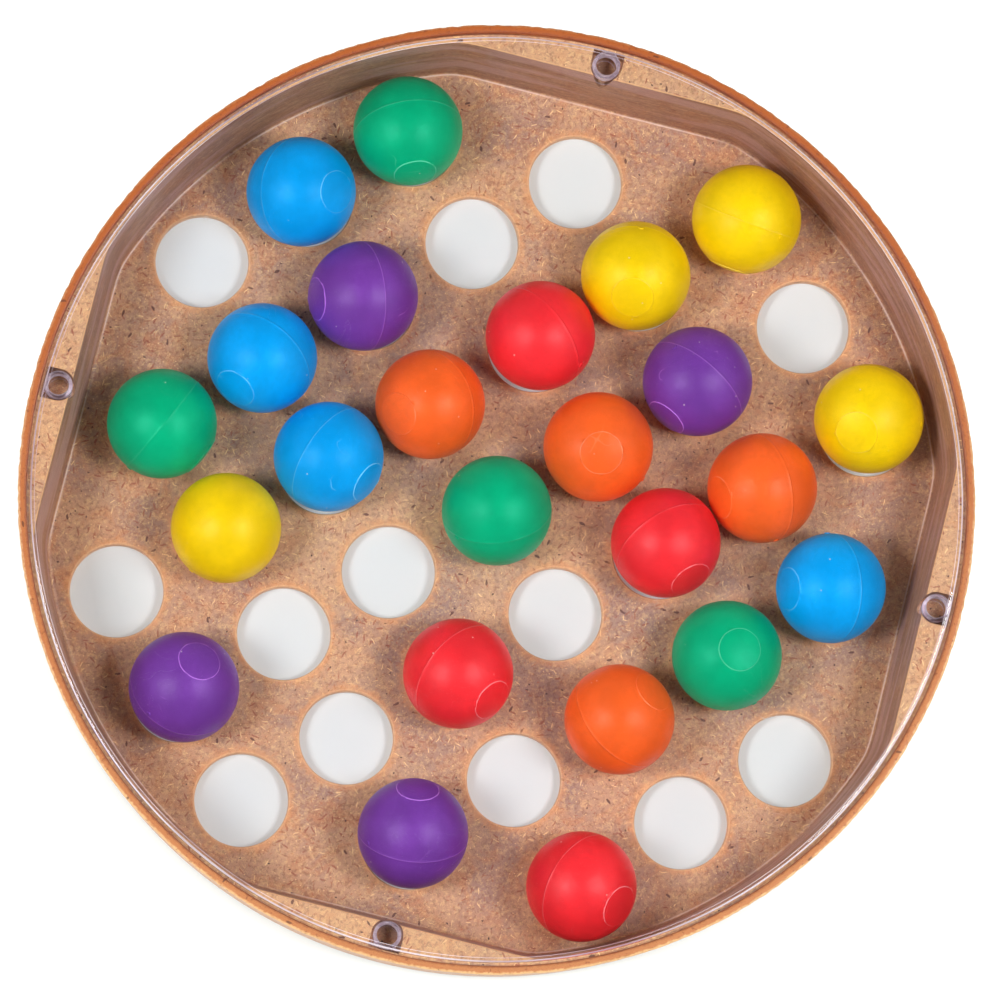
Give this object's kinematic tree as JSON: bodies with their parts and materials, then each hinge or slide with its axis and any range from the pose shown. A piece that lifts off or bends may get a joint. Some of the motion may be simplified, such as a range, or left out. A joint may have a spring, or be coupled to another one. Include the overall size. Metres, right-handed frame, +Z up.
{
  "type": "travel marble board game",
  "caption": "Round moulded tray with a square grid of holes, loose coloured balls standing in the holes, and a clear disc lid that plugs in inside the rim with hollow pins.",
  "frame": {"origin": "middle of the tray's underside, on the table", "axes": "+Z up; +X and +Y along the rows and columns of holes, so the four ledges lie on the diagonals"},
  "size_m": [0.14, 0.14, 0.0188],
  "materials": {
    "tray": "satin moulded, wood-fibre filled",
    "lid": "clear, polished",
    "ball_green": "satin",
    "ball_blue": "satin",
    "ball_purple": "satin",
    "ball_yellow": "satin",
    "ball_orange": "satin",
    "ball_red": "satin"
  },
  "bodies": {
    "tray": {"tray": "tray"},
    "lid": {"lid": "lid"},
    "ball_green_1": {"ball_green_1": "ball_green"},
    "ball_green_2": {"ball_green_2": "ball_green"},
    "ball_green_3": {"ball_green_3": "ball_green"},
    "ball_green_4": {"ball_green_4": "ball_green"},
    "ball_blue_1": {"ball_blue_1": "ball_blue"},
    "ball_blue_2": {"ball_blue_2": "ball_blue"},
    "ball_blue_3": {"ball_blue_3": "ball_blue"},
    "ball_blue_4": {"ball_blue_4": "ball_blue"},
    "ball_purple_1": {"ball_purple_1": "ball_purple"},
    "ball_purple_2": {"ball_purple_2": "ball_purple"},
    "ball_purple_3": {"ball_purple_3": "ball_purple"},
    "ball_purple_4": {"ball_purple_4": "ball_purple"},
    "ball_yellow_1": {"ball_yellow_1": "ball_yellow"},
    "ball_yellow_2": {"ball_yellow_2": "ball_yellow"},
    "ball_yellow_3": {"ball_yellow_3": "ball_yellow"},
    "ball_yellow_4": {"ball_yellow_4": "ball_yellow"},
    "ball_orange_1": {"ball_orange_1": "ball_orange"},
    "ball_orange_2": {"ball_orange_2": "ball_orange"},
    "ball_orange_3": {"ball_orange_3": "ball_orange"},
    "ball_orange_4": {"ball_orange_4": "ball_orange"},
    "ball_red_1": {"ball_red_1": "ball_red"},
    "ball_red_2": {"ball_red_2": "ball_red"},
    "ball_red_3": {"ball_red_3": "ball_red"},
    "ball_red_4": {"ball_red_4": "ball_red"}
  },
  "joints": [
    {"name": "lid_lift", "type": "slide", "parent": "tray", "child": "lid", "axis": [0, 0, 1], "range_m": [0, 0.03]},
    {"name": "ball_green_1_play", "type": "slide", "parent": "tray", "child": "ball_green_1", "axis": [0, 0, 1], "range_m": [0, 0.0006]},
    {"name": "ball_green_2_play", "type": "slide", "parent": "tray", "child": "ball_green_2", "axis": [0, 0, 1], "range_m": [0, 0.0006]},
    {"name": "ball_green_3_play", "type": "slide", "parent": "tray", "child": "ball_green_3", "axis": [0, 0, 1], "range_m": [0, 0.0006]},
    {"name": "ball_green_4_play", "type": "slide", "parent": "tray", "child": "ball_green_4", "axis": [0, 0, 1], "range_m": [0, 0.0006]},
    {"name": "ball_blue_1_play", "type": "slide", "parent": "tray", "child": "ball_blue_1", "axis": [0, 0, 1], "range_m": [0, 0.0006]},
    {"name": "ball_blue_2_play", "type": "slide", "parent": "tray", "child": "ball_blue_2", "axis": [0, 0, 1], "range_m": [0, 0.0006]},
    {"name": "ball_blue_3_play", "type": "slide", "parent": "tray", "child": "ball_blue_3", "axis": [0, 0, 1], "range_m": [0, 0.0006]},
    {"name": "ball_blue_4_play", "type": "slide", "parent": "tray", "child": "ball_blue_4", "axis": [0, 0, 1], "range_m": [0, 0.0006]},
    {"name": "ball_purple_1_play", "type": "slide", "parent": "tray", "child": "ball_purple_1", "axis": [0, 0, 1], "range_m": [0, 0.0006]},
    {"name": "ball_purple_2_play", "type": "slide", "parent": "tray", "child": "ball_purple_2", "axis": [0, 0, 1], "range_m": [0, 0.0006]},
    {"name": "ball_purple_3_play", "type": "slide", "parent": "tray", "child": "ball_purple_3", "axis": [0, 0, 1], "range_m": [0, 0.0006]},
    {"name": "ball_purple_4_play", "type": "slide", "parent": "tray", "child": "ball_purple_4", "axis": [0, 0, 1], "range_m": [0, 0.0006]},
    {"name": "ball_yellow_1_play", "type": "slide", "parent": "tray", "child": "ball_yellow_1", "axis": [0, 0, 1], "range_m": [0, 0.0006]},
    {"name": "ball_yellow_2_play", "type": "slide", "parent": "tray", "child": "ball_yellow_2", "axis": [0, 0, 1], "range_m": [0, 0.0006]},
    {"name": "ball_yellow_3_play", "type": "slide", "parent": "tray", "child": "ball_yellow_3", "axis": [0, 0, 1], "range_m": [0, 0.0006]},
    {"name": "ball_yellow_4_play", "type": "slide", "parent": "tray", "child": "ball_yellow_4", "axis": [0, 0, 1], "range_m": [0, 0.0006]},
    {"name": "ball_orange_1_play", "type": "slide", "parent": "tray", "child": "ball_orange_1", "axis": [0, 0, 1], "range_m": [0, 0.0006]},
    {"name": "ball_orange_2_play", "type": "slide", "parent": "tray", "child": "ball_orange_2", "axis": [0, 0, 1], "range_m": [0, 0.0006]},
    {"name": "ball_orange_3_play", "type": "slide", "parent": "tray", "child": "ball_orange_3", "axis": [0, 0, 1], "range_m": [0, 0.0006]},
    {"name": "ball_orange_4_play", "type": "slide", "parent": "tray", "child": "ball_orange_4", "axis": [0, 0, 1], "range_m": [0, 0.0006]},
    {"name": "ball_red_1_play", "type": "slide", "parent": "tray", "child": "ball_red_1", "axis": [0, 0, 1], "range_m": [0, 0.0006]},
    {"name": "ball_red_2_play", "type": "slide", "parent": "tray", "child": "ball_red_2", "axis": [0, 0, 1], "range_m": [0, 0.0006]},
    {"name": "ball_red_3_play", "type": "slide", "parent": "tray", "child": "ball_red_3", "axis": [0, 0, 1], "range_m": [0, 0.0006]},
    {"name": "ball_red_4_play", "type": "slide", "parent": "tray", "child": "ball_red_4", "axis": [0, 0, 1], "range_m": [0, 0.0006]}
  ]
}
